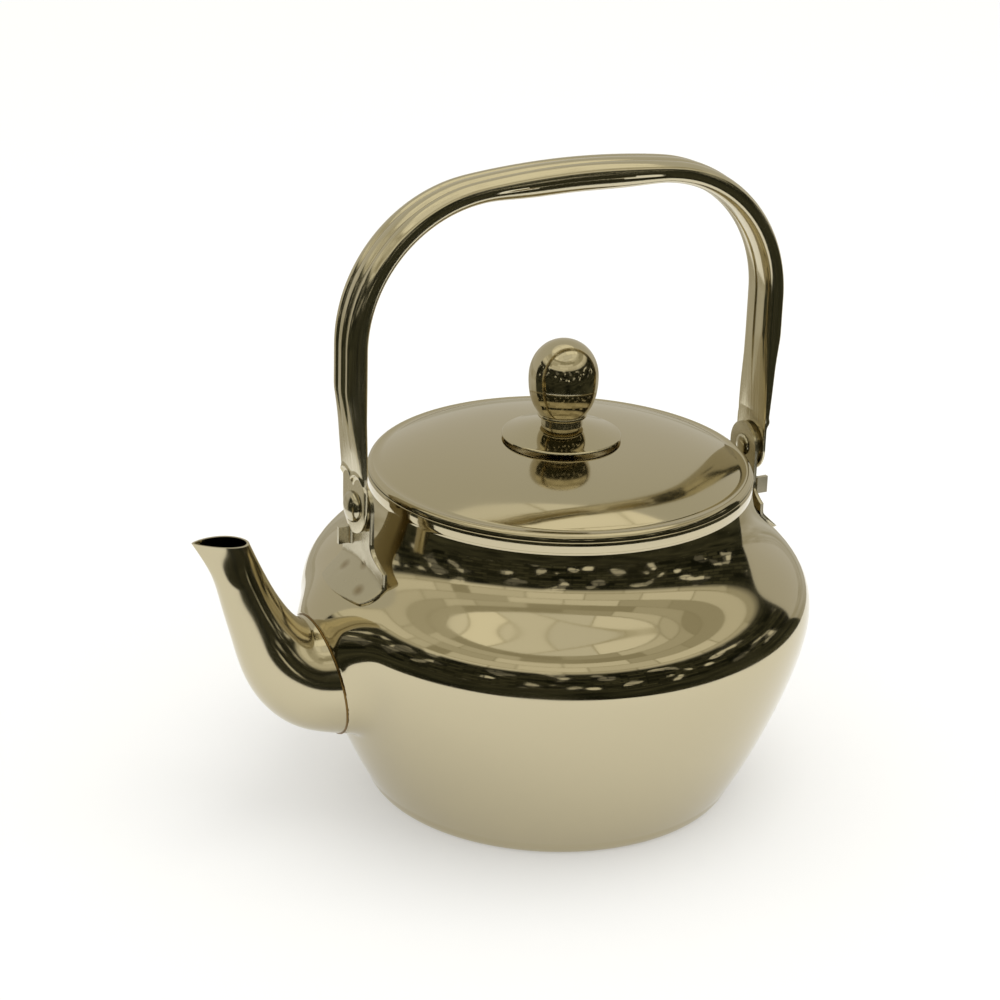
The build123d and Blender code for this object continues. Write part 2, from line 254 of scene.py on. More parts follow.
def link_mesh(name, mesh):
    """A mesh as an object at the origin, linked to the scene."""
    piece = bpy.data.objects.new(name, mesh)
    bpy.context.collection.objects.link(piece)
    return piece


def shade(mesh, edge_angle=40):
    """Smooth shading, with a sharp edge where two faces meet at more than the angle in degrees."""
    mesh.shade_smooth()
    mesh.set_sharp_from_angle(angle=radians(edge_angle))


def piece_from_grid(name, grid, wrap_rows=False, uv=None, edge_angle=40):
    """A mesh piece from a grid of points (rows, columns, xyz), closed round its columns.

    Doubles are merged, which closes poles, and the normals are turned outwards.
    """
    index = np.arange(grid.shape[0] * grid.shape[1]).reshape(grid.shape[:2])
    if wrap_rows:
        index = np.concatenate([index, index[:1]])
    faces = grid_faces(np.concatenate([index, index[:, :1]], axis=1))
    mesh = bpy.data.meshes.new(name)
    mesh.from_pydata(grid.reshape(-1, 3), [], faces)
    if uv is not None:
        layer = mesh.uv_layers.new(name="sheet")
        layer.uv.foreach_set("vector", uv.reshape(-1, 2)[faces.ravel()].ravel().astype(np.float32))
    work = bmesh.new()
    work.from_mesh(mesh)
    bmesh.ops.remove_doubles(work, verts=work.verts, dist=MERGE_DISTANCE)
    bmesh.ops.recalc_face_normals(work, faces=work.faces)
    work.to_mesh(mesh)
    work.free()
    shade(mesh, edge_angle)
    return link_mesh(name, mesh)


def cut_by(piece, cutter):
    """Takes the cutter's volume out of the piece, for good, and removes the cutter."""
    cut = piece.modifiers.new("cut", "BOOLEAN")
    cut.object = cutter
    cut.operation = "DIFFERENCE"
    cut.solver = "MANIFOLD"
    bpy.context.view_layer.update()
    graph = bpy.context.evaluated_depsgraph_get()
    result = bpy.data.meshes.new_from_object(piece.evaluated_get(graph))
    piece.modifiers.clear()
    piece.data = result
    bpy.data.objects.remove(cutter)


def at_end(grid, side):
    """Points made for the front end, side -1; for side 1 they are turned half a turn to the rear end."""
    return grid * np.array([-side, -side, 1])


def finish_piece(piece, body, slot, material, *nodes):
    """Gives a piece its body and its material, and hides the CAD nodes that it stands for. The slot is not
    used.
    """
    piece.data.materials.clear()
    piece.data.materials.append(material)
    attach(piece, body)
    if nodes:
        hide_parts(*nodes)


# Materials


def add_node(tree, kind, settings=None, links=None):
    """Adds a node, sets its values or attributes, and links its inputs."""
    node = tree.nodes.new(kind)
    for name, value in (settings or {}).items():
        if isinstance(name, int) or name in node.inputs:
            node.inputs[name].default_value = value
        else:
            setattr(node, name, value)
    for name, source in (links or {}).items():
        tree.links.new(source, node.inputs[name])
    return node


def new_metal(name, colour, roughness):
    """A bare metal material and its shader; a metal keeps the default IOR."""
    material = bpy.data.materials.new(name)
    material.use_nodes = True
    shader = material.node_tree.nodes["Principled BSDF"]
    shader.inputs["Base Color"].default_value = (*colour, 1)
    shader.inputs["Metallic"].default_value = 1
    shader.inputs["Roughness"].default_value = roughness
    return material, shader


def object_pattern(tree, size):
    """Object coordinates scaled so that one unit of pattern is the given size in metres."""
    place = add_node(tree, "ShaderNodeTexCoord")
    scale = {"Scale": (1 / size, 1 / size, 1 / size)}
    return add_node(tree, "ShaderNodeMapping", scale, {"Vector": place.outputs["Object"]})


def spread_noise(tree, place, low, high, detail):
    """Noise at the given coordinates; most of it lies from 0.3 to 0.7, which is spread from low to high."""
    noise = add_node(
        tree, "ShaderNodeTexNoise", {"Scale": 1.0, "Detail": detail}, {"Vector": place.outputs["Vector"]}
    )
    ends = {"From Min": 0.3, "From Max": 0.7, "To Min": low, "To Max": high}
    return add_node(tree, "ShaderNodeMapRange", ends, {"Value": noise.outputs["Fac"]})


def noise_range(tree, size, low, high, detail=3.0):
    """Noise of a real size, spread over a range of values."""
    return spread_noise(tree, object_pattern(tree, size), low, high, detail)


def finish_surface(tree, shader, gloss=None, relief=None, depth=0.0, strength=0.0):
    """Lets one pattern drive the shader's roughness, and another its normal as bump of a real depth."""
    if gloss is not None:
        tree.links.new(gloss.outputs[0], shader.inputs["Roughness"])
    if relief is not None:
        settings = {"Strength": strength, "Distance": depth}
        bump = add_node(tree, "ShaderNodeBump", settings, {"Height": relief.outputs[0]})
        tree.links.new(bump.outputs["Normal"], shader.inputs["Normal"])


def two_colours(first, second):
    """Settings of a Mix node that goes from the first colour to the second."""
    return {"data_type": "RGBA", 6: (*first, 1), 7: (*second, 1)}


def polished_steel(name, colour, low, high, ripple):
    """Deep-drawn 304 stainless steel, buffed to a mirror.

    The eye sees a sharp reflection that wavers a little where the press left ripples 25 mm apart,
    and a faint haze in patches where the buff or a wipe left the surface duller. low and high are the
    roughness of its clear and its hazy patches, and ripple is the depth of the waves.
    """
    material, shader = new_metal(name, colour, low)
    tree = material.node_tree
    haze = noise_range(tree, 34 * MM, low, high)
    waves = noise_range(tree, 25 * MM, 0, 1, detail=1.0)
    finish_surface(tree, shader, gloss=haze, relief=waves, depth=ripple, strength=0.35)
    return material


def strip_steel(name, colour):
    """Cold-rolled stainless strip, folded and polished along its length.

    The eye sees long streaks along the strip, 0.6 mm apart here so that they show, and a gloss that
    is a little softer than the pot's.
    """
    material, shader = new_metal(name, colour, 0.14)
    tree = material.node_tree
    streak_length, streak_spacing = 90 * MM, 0.6 * MM
    along_strip = add_node(tree, "ShaderNodeUVMap", {"uv_map": "sheet"})
    place = add_node(
        tree,
        "ShaderNodeMapping",
        {"Scale": (1 / streak_length, 1 / streak_spacing, 1)},
        {"Vector": along_strip.outputs["UV"]},
    )
    streaks = spread_noise(tree, place, 0.07, 0.2, detail=2.0)
    finish_surface(tree, shader, gloss=streaks, relief=streaks, depth=0.05 * MM, strength=0.3)
    return material


def stamped_steel(name, colour, heat_tint, side):
    """Stainless sheet with its mill finish, stamped, tumbled and spot-welded.

    The eye sees a soft satin gloss with fine random pits, and a brown ring of heat round each weld.
    """
    material, shader = new_metal(name, colour, 0.24)
    tree = material.node_tree
    satin = noise_range(tree, 6 * MM, 0.17, 0.28)
    pits = noise_range(tree, 2.5 * MM, 0, 1, detail=1.0)
    finish_surface(tree, shader, gloss=satin, relief=pits, depth=0.004 * MM, strength=0.2)
    place = add_node(tree, "ShaderNodeTexCoord")
    fade = {"From Min": 1.0 * MM, "From Max": 3.0 * MM, "To Min": 0.6, "To Max": 0.0}
    tint = None
    for y, z in weld_spots():
        reach = add_node(
            tree, "ShaderNodeVectorMath", {"operation": "DISTANCE"}, {0: place.outputs["Object"]}
        )
        reach.inputs[1].default_value = (side * shoulder_radius(z), -side * y, z)
        ring = add_node(tree, "ShaderNodeMapRange", fade, {"Value": reach.outputs["Value"]})
        tint = ring if tint is None else add_node(
            tree, "ShaderNodeMath", {"operation": "MAXIMUM"}, {0: tint.outputs[0], 1: ring.outputs[0]}
        )
    mix = add_node(tree, "ShaderNodeMix", two_colours(colour, heat_tint), {"Factor": tint.outputs[0]})
    tree.links.new(mix.outputs[2], shader.inputs["Base Color"])
    return material


def weld_steel(name, colour):
    """A weld bead in stainless steel, left as it was welded.

    The eye sees a dull brown bead, browned by heat, whose gloss changes every millimetre or so.
    """
    material, shader = new_metal(name, colour, 0.32)
    tree = material.node_tree
    finish_surface(tree, shader, gloss=noise_range(tree, 1.2 * MM, 0.22, 0.45))
    return material


def turned_steel(name, colour, pitch):
    """Stainless bar turned on a lathe: fine rings at the tool's pitch, drawn coarser so they show."""
    material, shader = new_metal(name, colour, 0.2)
    tree = material.node_tree
    place = object_pattern(tree, pitch)
    rings = add_node(
        tree,
        "ShaderNodeTexWave",
        {"wave_type": "BANDS", "bands_direction": "Z", "Scale": 0.31, "Distortion": 0.4},
        {"Vector": place.outputs["Vector"]},
    )
    finish_surface(tree, shader, relief=rings, depth=0.01 * MM, strength=0.3)
    return material


# The pot


def pot_outline(sizes):
    """Outside of the pot from the middle of the base to the step under the rim, as (radius, height)."""
    base, corner, low = sizes.base_flat, sizes.corner_radius, sizes.corner_height
    belly, widest = sizes.belly_radius, sizes.belly_height
    neck, step = sizes.neck_radius, sizes.neck_height
    side = (corner + 9 * MM, low + 15.5 * MM)
    shoulder = (neck + 1.8 * MM, step - 25 * MM)
    return chain(
        bezier([(0, 0), (base / 2, 0), (base, 0)], 12),
        bezier([(base, 0), (corner - 1.4 * MM, 0), (corner, low)], 10),
        bezier([(corner, low), side, (belly, widest - 15 * MM), (belly, widest)], 70),
        bezier([(belly, widest), (belly, widest + 21 * MM), shoulder, (neck, step)], 70),
    )


def rim_outline(sizes):
    """The hemmed rim above the neck: a fine step, a band that leans out a little and a rolled top."""
    neck, step, rim, top = sizes.neck_radius, sizes.neck_height, sizes.rim_radius, sizes.rim_top
    roll = 0.5 * MM
    inner = neck - sizes.sheet
    foot = (neck + 0.26 * MM, step + 0.2 * MM)
    return chain(
        bezier([(neck, step), (neck, step + 0.1 * MM), (foot[0], step + 0.05 * MM), foot], 6),
        bezier([foot, (rim, top - roll)], 4),
        bezier([(rim, top - roll), (rim, top), (rim - roll, top)], 6),
        bezier([(rim - roll, top), (inner, top), (inner, top - roll)], 6),
        bezier([(inner, top - roll), (inner, step)], 3),
    )


def pot_wall_radius(height):
    """Radius of the pot's outside at each height."""
    outline = pot_outline(bpy.context.scene.kettle_pot)
    return np.interp(height, outline[:, 1], outline[:, 0])


def shoulder_radius(height):
    """Radius of the shoulder at one height, as a plain number."""
    return float(pot_wall_radius(height))


def spout_rows():
    """The spout's sections from the root to the mouth: outer x, z, inner x, z and half width."""
    rows = [
        (-86.5, 33.0, -94.0, 75.5, 21.5),
        (-102.0, 38.5, -96.0, 75.5, 19.5),
        (-114.5, 51.5, -98.0, 76.5, 16.5),
        (-121.5, 70.0, -101.5, 80.0, 12.5),
        (-126.0, 86.0, -107.5, 89.0, 9.5),
        (-129.5, 97.5, -112.5, 99.0, 7.5),
        (-136.5, 110.5, -116.5, 108.0, 6.0),
    ]
    return np.array(rows) * MM


def draw_out_collar(grid):
    """Moves the wall near the spout's root out to the root's plane, easing off like a drawn flange.

    The weight is 1 inside the root's oval and (1 - s) cubed outside it, where s is the distance from the
    oval over a reach that is short below and long above.
    """
    low_x, low_z, high_x, high_z, half_width = spout_rows()[0]
    middle = (low_z + high_z) / 2
    half_height = (high_z - low_z) / 2
    x, y, z = grid[..., 0], grid[..., 1], grid[..., 2]
    ring = np.hypot(y / half_width, (z - middle) / half_height)
    upward = (z - middle) / half_height / np.maximum(ring, 0.01)
    least, growth, margin = 3 * MM, 9 * MM, 2 * MM
    reach = least + growth * (1 + upward) ** 1.2
    outside = np.clip((ring - 1) * (half_width + half_height) / 2 / reach, 0, 1)
    weight = np.where(x < 0, (1 - outside) ** 3, 0)
    slope = (high_x - low_x) / (high_z - low_z)
    plane = low_x + (np.clip(z, low_z - margin, high_z + margin) - low_z) * slope
    moved = grid.copy()
    moved[..., 0] = x + weight * np.minimum(plane - x, 0)
    return moved


def pot_angles():
    """Angles round the pot, nearly five times closer round the spout's collar than elsewhere."""
    collar = 0.62
    near = np.linspace(np.pi - collar, np.pi + collar, 120, endpoint=False)
    far = np.linspace(np.pi + collar, np.pi - collar + TURN, 104, endpoint=False)
    return np.concatenate([near, far])


def bore_grid(sizes):
    """A short oval bar along X, inside the spout's root, drawn to a point at both ends."""
    _, low_z, _, high_z, half_width = spout_rows()[0]
    width = half_width - 2 * sizes.sheet
    height = (high_z - low_z) / 2 - 2 * sizes.sheet
    circle = even_angles(96)
    oval = np.stack([0 * circle, width * np.cos(circle), height * np.sin(circle)], -1)
    outer_end, inner_end = -100 * MM, -70 * MM
    x = np.array([outer_end, outer_end, inner_end, inner_end])
    middle = np.stack([x, 0 * x, 0 * x + (low_z + high_z) / 2], -1)
    scale = np.array([0, 1, 1, 0])
    return oval * scale[:, None, None] + middle[:, None]


class KETTLE_OT_make_pot(bpy.types.Operator):
    """Build the pot with its rim, its collar and the opening into the spout"""

    bl_idname = "kettle.make_pot"
    bl_label = "Make the pot"

    def execute(self, context):
        sizes = context.scene.kettle_pot
        finishes = context.scene.kettle_finishes
        outside = pot_outline(sizes)
        wall = inset(outside, sizes.sheet)[::-1]
        wall[0] = (sizes.neck_radius - sizes.sheet, sizes.neck_height)
        wall[-1, 0] = 0
        outline = chain(outside, rim_outline(sizes), wall)
        piece = piece_from_grid("pot", draw_out_collar(turned(outline, pot_angles())))
        cut_by(piece, piece_from_grid("bore", bore_grid(sizes)))
        shade(piece.data)
        material = polished_steel("mirror_polished_steel", finishes.polished, 0.045, 0.1, 0.06 * MM)
        finish_piece(piece, "pot", "polished_pot", material, "pot_body")
        return {"FINISHED"}


# The spout


def spout_surface(rows, sheet, sizes, columns):
    """Ovals square to the plane of symmetry, drawn in by the sheet.

    At angle t a point stands half the length times cos t along the oval and half the width times
    sin t across it; near the mouth three quarters of sin t is also scaled by 1.25 times cos(t / 2),
    which draws the lip to a point.
    """
    t = even_angles(columns)
    outer, inner, half_width = rows[:, 0:2], rows[:, 2:4], rows[:, 4, None] - sheet
    middle = (outer + inner) / 2
    half = (inner - outer) / 2
    length = np.linalg.norm(half, axis=1, keepdims=True)
    half = half * (length - sheet) / length
    from_mouth = np.linalg.norm(middle - middle[-1], axis=1, keepdims=True)
    pointed = 0.75 * smoothstep(1 - from_mouth / sizes.lip_reach)
    y = half_width * np.sin(t) * (1 - pointed + pointed * 1.25 * np.abs(np.cos(t / 2)))
    x = middle[:, :1] + half[:, :1] * np.cos(t)
    z = middle[:, 1:] + half[:, 1:] * np.cos(t)
    return np.stack([x, y, z], -1)


def weld_grid(root, radius):
    """A thin ring round the spout's root: a circle carried along the root, square to its own plane."""
    centre = root.mean(axis=0)
    outward = (root - centre) / np.linalg.norm(root - centre, axis=1, keepdims=True)
    axis = np.cross(root[len(root) // 4] - centre, root[0] - centre)
    axis /= np.linalg.norm(axis)
    around = even_angles(10)[:, None, None]
    return root + radius * (np.cos(around) * outward + np.sin(around) * axis)


class KETTLE_OT_make_spout(bpy.types.Operator):
    """Build the pressed spout and the weld bead round its root"""

    bl_idname = "kettle.make_spout"
    bl_label = "Make the spout"

    def execute(self, context):
        sizes = context.scene.kettle_spout
        finishes = context.scene.kettle_finishes
        rows = spline_rows(spout_rows(), 110)
        outside = spout_surface(rows, 0.0, sizes, 128)
        inside = spout_surface(rows, sizes.sheet, sizes, 128)[::-1]
        piece = piece_from_grid("spout_shell", np.concatenate([outside, inside]), wrap_rows=True)
        material = polished_steel("buffed_steel", finishes.polished, 0.07, 0.13, 0.08 * MM)
        finish_piece(piece, "pot", "polished_spout", material, "spout")
        bead = piece_from_grid("spout_weld", weld_grid(outside[0], sizes.weld_radius), wrap_rows=True)
        tinted = weld_steel("heat_tinted_weld", finishes.heat_tint)
        finish_piece(bead, "pot", "polished_spout", tinted)
        return {"FINISHED"}


# Brackets and rivets


def weld_spots():
    """The three spot welds on the front bracket's foot, as (y, z)."""
    return np.array([(5, 90.3), (-4, 93.8), (-11, 88)]) * MM


def bracket_outline(sizes):
    """Heights up the bracket and its half width at each of them.

    A quarter circle rounds the foot's lower corners. Above the foot the half width falls to the
    upright's as (1 - s) to the power 2.6, and the head is a half circle.
    """
    bottom, corner, waist = sizes.foot_bottom, sizes.foot_corner, sizes.foot_waist
    foot_top, pivot = sizes.foot_top, sizes.pivot_height
    wide, narrow = sizes.foot_half, sizes.bracket_half
    head_steps = np.sin(np.linspace(0, np.pi / 2, 14)) ** 2
    z = np.concatenate([
        bottom + corner * (1 - np.cos(np.linspace(0, np.pi / 2, 12))),
        np.linspace(bottom + corner, foot_top, 24)[1:],
        np.linspace(foot_top, foot_top + waist, 30)[1:],
        np.linspace(foot_top + waist, pivot, 16)[1:],
        pivot + narrow * np.sin(head_steps * np.pi / 2)[1:],
    ])
    up_corner = np.clip((z - bottom) / corner, 0, 1)
    up_waist = np.clip((z - foot_top) / waist, 0, 1)
    up_head = np.clip((z - pivot) / narrow, 0, 1)
    foot = wide - corner + corner * np.sqrt(1 - (1 - up_corner) ** 2)
    upright = narrow + (wide - narrow) * (1 - up_waist) ** 2.6
    head = narrow * np.sqrt(1 - up_head**2)
    return z, np.select([z > pivot, z > foot_top], [head, upright], foot)


def bracket_grid(sizes, over_collar):
    """The bracket as a closed sheet, a strip whose half width follows its height.

    Below, it lies on the shoulder, whose radius gives x; above, it stands upright. The two meet in
    the soft larger one, (a + b + root((a - b) squared + s squared)) / 2, which bends the sheet
    between them. Its face drops along a quarter circle at its edges and dips at each spot weld.
    """
    z, half = bracket_outline(sizes)
    wide, narrow = sizes.foot_half, sizes.bracket_half
    u = np.sin(np.linspace(-np.pi / 2, np.pi / 2, 73))
    lean = sizes.foot_shift * (half - narrow) / (wide - narrow)
    y = half[:, None] * u - np.maximum(lean, 0)[:, None]
    height = z[:, None] + 0 * u
    edge, thick = sizes.bracket_edge, sizes.bracket_sheet
    from_side = half[:, None] * (1 - np.abs(u))
    near_edge = np.clip(1 - np.minimum(from_side, height - sizes.foot_bottom) / edge, 0, 1)
    drop = edge * (1 - np.sqrt(1 - near_edge**2))
    wall = np.stack([-np.sqrt(pot_wall_radius(height) ** 2 - y**2), y, height], -1)
    if over_collar:
        wall = draw_out_collar(wall)
    gap, softness = 0.06 * MM, 0.6 * MM
    upright = sizes.bracket_x + thick
    lying = gap + thick - wall[..., 0]
    x = (upright + lying + np.sqrt((upright - lying) ** 2 + softness**2)) / 2
    dip, dip_radius = 0.35 * MM, 1.3 * MM
    for spot_y, spot_z in weld_spots():
        away = np.hypot(y - spot_y, height - spot_z)
        x = x - dip * np.exp(-((away / dip_radius) ** 2))
    face = np.stack([drop - x, y, height], -1)
    back = np.stack([thick - x, y, height], -1)
    return closed_ends(np.concatenate([face, back[:, ::-1]], axis=1))


def closed_ends(grid):
    """The grid with its first and last rows drawn to their own middle line, which closes the ends."""
    count = grid.shape[1] // 2
    first, last = grid[:1].copy(), grid[-1:].copy()
    for row in (first, last):
        middle = (row[:, :count] + row[:, count:][:, ::-1]) / 2
        row[:, :count] = middle
        row[:, count:] = middle[:, ::-1]
    return np.concatenate([first, grid, last])


def tab_grid(sizes):
    """The stop tab: a strip bent outwards from the upright's edge, a quarter circle and then straight."""
    bend = 1.2 * MM
    turn = np.linspace(0, np.pi / 2, 8)
    half_sheet = sizes.bracket_sheet / 2
    x = np.append(-bend * np.sin(turn), -sizes.tab_reach) - sizes.bracket_x - half_sheet
    y = np.append(-bend * np.cos(turn), 0) + sizes.bracket_half - half_sheet
    centre = np.stack([x, y], -1)
    along = np.gradient(centre, axis=0)
    along /= np.linalg.norm(along, axis=1, keepdims=True)
    side = np.stack([-along[:, 1], along[:, 0]], -1) * half_sheet
    loop = np.stack([centre - side, centre + side, centre + side, centre - side], 1)
    height = np.array([sizes.tab_bottom, sizes.tab_bottom, sizes.tab_top, sizes.tab_top])
    ring = np.concatenate([loop, np.broadcast_to(height[:, None], loop.shape[:2] + (1,))], -1)
    first, last = [np.broadcast_to(ring[end].mean(axis=0), ring[:1].shape) for end in (0, -1)]
    return np.concatenate([first, ring, last])


def rivet_outline(sizes):
    """Half outline of the rivet along its own axis: peened end, shank and domed head."""
    start = sizes.bracket_x - 0.1 * MM
    outer = sizes.end_x + sizes.plate / 2 + 0.1 * MM
    shank, peen, head = 2.5 * MM, 3.9 * MM, sizes.rivet_head
    peen_end = start - 1.2 * MM
    brow = (head - 0.9 * MM, outer + 1.5 * MM)
    return chain(
        bezier([(0, peen_end), (2.4 * MM, peen_end), (peen, peen_end + 0.3 * MM), (peen, start)], 12),
        bezier([(peen, start), (shank, start)], 3),
        bezier([(shank, start), (shank, outer)], 8),
        bezier([(shank, outer), (head, outer)], 4),
        bezier([(head, outer), (head, outer + 0.7 * MM), brow], 10),
        bezier([brow, (head / 2, outer + 2.7 * MM), (0, outer + 2.6 * MM)], 16),
    )


def rivet_grid(sizes):
    """The rivet's outline turned about its axis, which lies along -X at the pivot's height."""
    grid = turned(rivet_outline(sizes), even_angles(64))
    return np.stack([-grid[..., 2], grid[..., 0], grid[..., 1] + sizes.pivot_height], -1)


class KETTLE_OT_make_brackets(bpy.types.Operator):
    """Build the two stamped brackets with their stop tabs, and the two rivets"""

    bl_idname = "kettle.make_brackets"
    bl_label = "Make the brackets and rivets"

    def execute(self, context):
        sizes = context.scene.kettle_bail
        finishes = context.scene.kettle_finishes
        for end, side in (("front", -1), ("rear", 1)):
            plate = at_end(bracket_grid(sizes, end == "front"), side)
            bracket = piece_from_grid(f"bracket_{end}_plate", plate)
            stamped = stamped_steel(f"stamped_steel_{end}", finishes.stamped, finishes.heat_tint, side)
            finish_piece(bracket, "pot", "bracket_steel", stamped, f"bracket_{end}")
            tab = piece_from_grid(f"bracket_{end}_stop", at_end(tab_grid(sizes), side))
            finish_piece(tab, "pot", "bracket_steel", stamped)
            rivet = piece_from_grid(f"rivet_{end}", at_end(rivet_grid(sizes), side))
            headed = polished_steel(f"headed_steel_{end}", finishes.stamped, 0.12, 0.24, 0.05 * MM)
            finish_piece(rivet, "pot", "rivet_steel", headed, f"pivot_rivet_{end}")
        return {"FINISHED"}


# The bail


def bail_path(sizes):
    """Centre line of the bail, its outward normal and the distance along it.

    A leg goes straight up, a bend turns by the shoulder angle, and one wide arc makes the crown.
    """
    turn = sizes.shoulder_angle
    half_end = sizes.end_width / 2
    foot = sizes.pivot_height - half_end
    press_top = sizes.pivot_height + 20 * MM
    leg = np.concatenate([
        (1 - np.cos(np.linspace(0, np.pi / 2, 14))) * half_end + foot,
        np.linspace(sizes.pivot_height, press_top, 72)[1:],
        np.linspace(press_top, sizes.leg_top, 20)[1:-1],
    ])
    radius, corner_z = sizes.corner_radius, sizes.leg_top
    bend = np.linspace(0, turn, 48)
    corner_x = sizes.half_width - radius
    crown_radius = (corner_x + radius * cos(turn)) / cos(turn)
    crown_z = corner_z + radius * sin(turn) - crown_radius * sin(turn)
    crown = np.linspace(turn, np.pi / 2, 48)[1:]
    right = np.concatenate([
        np.stack([0 * leg + sizes.half_width, leg], -1),
        np.stack([corner_x + radius * np.cos(bend), corner_z + radius * np.sin(bend)], -1),
        np.stack([crown_radius * np.cos(crown), crown_z + crown_radius * np.sin(crown)], -1),
    ])
    angle = np.concatenate([0 * leg, bend, crown])
    normal = np.stack([np.cos(angle), np.sin(angle)], -1)
    mirror = np.array([-1, 1])
    line = np.concatenate([right, right[-2::-1] * mirror])
    outward = np.concatenate([normal, normal[-2::-1] * mirror])
    along = np.concatenate([[0], np.cumsum(np.linalg.norm(np.diff(line, axis=0), axis=1))])
    return line, outward, along


def strip_section(rounding, columns):
    """A unit section, |y| to a power plus |e| to the same power = 1, walked once round.

    Places across the strip follow a sine, so they crowd towards its edges, where the section turns.
    """
    across = np.sin(np.linspace(-np.pi / 2, np.pi / 2, columns // 2, endpoint=False))
    raised = (1 - np.abs(across) ** rounding) ** (1 / rounding)
    y = np.broadcast_to(np.concatenate([across, -across]), (len(rounding), columns))
    return y, np.concatenate([raised, -raised], axis=1)


def end_relief(sizes, y, over_pivot):
    """How far the flat end's face stands over its pressed-in part, which lies below a double arch.

    A point's distance from the arch is the one to the nearer arch's centre less the radius. The face
    rises where that turns positive, with a rib along the arch itself.
    """
    arch, arch_foot = sizes.end_width / 4, 7.4 * MM
    radius = arch + 0.55 * MM
    step, step_width = 0.9 * MM, 1.2 * MM
    rib, rib_width, rib_fade = 0.6 * MM, 0.7 * MM, 3 * MM
    from_arch = np.hypot(np.abs(y) - arch, np.maximum(over_pivot - arch_foot, 0)) - radius
    ridge = np.exp(-((from_arch / rib_width) ** 2)) * smoothstep((over_pivot - arch_foot) / rib_fade)
    return step * smoothstep(from_arch / step_width + 0.5) + rib * ridge


def bail_surface(sizes, columns):
    """The folded strip carried along the bail's line.

    Two grooves run along its outer face and the fold's seam along its inner one. It is deeper in the
    grip. Towards each end it narrows to a flat plate with the double arch pressed into its face.
    """
    line, outward, along = bail_path(sizes)
    height = line[:, 1, None]
    over_pivot = height - sizes.pivot_height
    opened = np.clip((over_pivot - sizes.taper_low) / (sizes.taper_high - sizes.taper_low), 0, 1)
    flat_rounding, strip_rounding = 5, 3
    rounding = flat_rounding + (strip_rounding - flat_rounding) * smoothstep(opened * 1.4)
    unit_y, unit_e = strip_section(rounding, columns)
    below = np.clip(-over_pivot / (sizes.end_width / 2), 0, 1)
    width = sizes.end_width + (sizes.strip_width - sizes.end_width) * opened
    y = width / 2 * np.sqrt(1 - below**2) * unit_y
    shift = sizes.half_width - sizes.end_x
    outer_end = sizes.plate / 2 - shift + end_relief(sizes, y, over_pivot) * (1 - opened)
    inner_end = sizes.plate / 2 + shift
    outer = outer_end + (sizes.depth / 2 - outer_end) * opened
    inner = inner_end + (sizes.depth / 2 - inner_end) * opened
    grip = smoothstep(1 - (np.abs(line[:, 0, None]) / sizes.grip_half) ** 2) * (height > sizes.leg_top)
    inner = inner + (sizes.grip_depth - sizes.depth) * grip
    groove_depth, crease_depth, crease_width = 0.9 * MM, 0.5 * MM, 0.5 * MM
    flute_start, flute_fade, grip_taper = 22 * MM, 24 * MM, 0.16
    fluted = smoothstep((over_pivot - flute_start) / flute_fade)
    lobes = np.abs(np.sin(1.5 * np.pi * (unit_y + 1)))
    groove = groove_depth * (1 - lobes) ** 1.3 * fluted * smoothstep((unit_e - 0.55) / 0.4)
    seam = np.exp(-((y / crease_width) ** 2)) * smoothstep((-unit_e - 0.6) / 0.3)
    offset = (outer - inner) / 2 + (outer + inner) / 2 * unit_e - groove + crease_depth * fluted * seam
    narrowed = 1 - grip_taper * grip * (unit_e < 0)
    x = line[:, :1] + outward[:, :1] * offset
    z = line[:, 1:] + outward[:, 1:] * offset
    points = np.stack([x, y * narrowed, z], -1)
    section = points[len(points) // 4]
    around = np.concatenate([[0], np.cumsum(np.linalg.norm(np.diff(section, axis=0), axis=1))])
    uv = np.stack(np.broadcast_arrays(along[:, None], around), -1)
    return points, uv


class KETTLE_OT_make_bail(bpy.types.Operator):
    """Build the folded strip handle with its grooves, grip and pressed ends"""

    bl_idname = "kettle.make_bail"
    bl_label = "Make the bail handle"

    def execute(self, context):
        sizes = context.scene.kettle_bail
        points, uv = bail_surface(sizes, 176)
        piece = piece_from_grid("bail", points, uv=uv, edge_angle=60)
        material = strip_steel("rolled_strip_steel", context.scene.kettle_finishes.strip)
        finish_piece(piece, "bail", "bail_steel", material, "bail_handle")
        return {"FINISHED"}


# The lid and its knob


def lid_outline(sizes):
    """The lid sheet as a closed outline: dome, crease, rounded border and rolled-down cut edge."""
    rim, low = sizes.radius, sizes.edge_height
    knee, border, crown = sizes.border_radius, sizes.border_height, sizes.crown_height
    crease = (knee - 1.6 * MM, border + 0.55 * MM)
    ledge = (knee + 1.4 * MM, border + 0.1 * MM)
    top = chain(
        bezier([(0, crown), (knee * 0.4, crown), (knee * 0.7, crown - 1.3 * MM), crease], 60),
        bezier([crease, (knee - 0.2 * MM, border - 0.15 * MM), ledge], 14),
        bezier([ledge, (rim - 1.6 * MM, border + 0.35 * MM), (rim, border - 0.1 * MM), (rim, low)], 26),
    )
    under = inset(top, -sizes.sheet)[::-1]
    under[0] = (rim - sizes.sheet, low)
    under[-1, 0] = 0
    return chain(top, np.array([top[-1], under[0]]), under)


def saucer_outline(sizes):
    """The knob's saucer as a closed outline: a shallow cone with a rolled-down edge."""
    rim, low, top = sizes.saucer_radius, sizes.saucer_low, sizes.saucer_top
    hole, roll = 2.1 * MM, 0.8 * MM
    flat = (7.5 * MM, top - 0.05 * MM)
    edge = (rim - roll, low + roll)
    upper = chain(
        bezier([(hole, top), (6 * MM, top), flat], 8),
        bezier([flat, (12 * MM, top - 0.8 * MM), edge], 20),
        bezier([edge, (rim, low + roll * 0.8), (rim, low)], 14),
    )
    under = inset(upper, -sizes.sheet)[::-1]
    under[0] = (rim - sizes.sheet, low)
    return chain(upper, np.array([upper[-1], under[0]]), under)


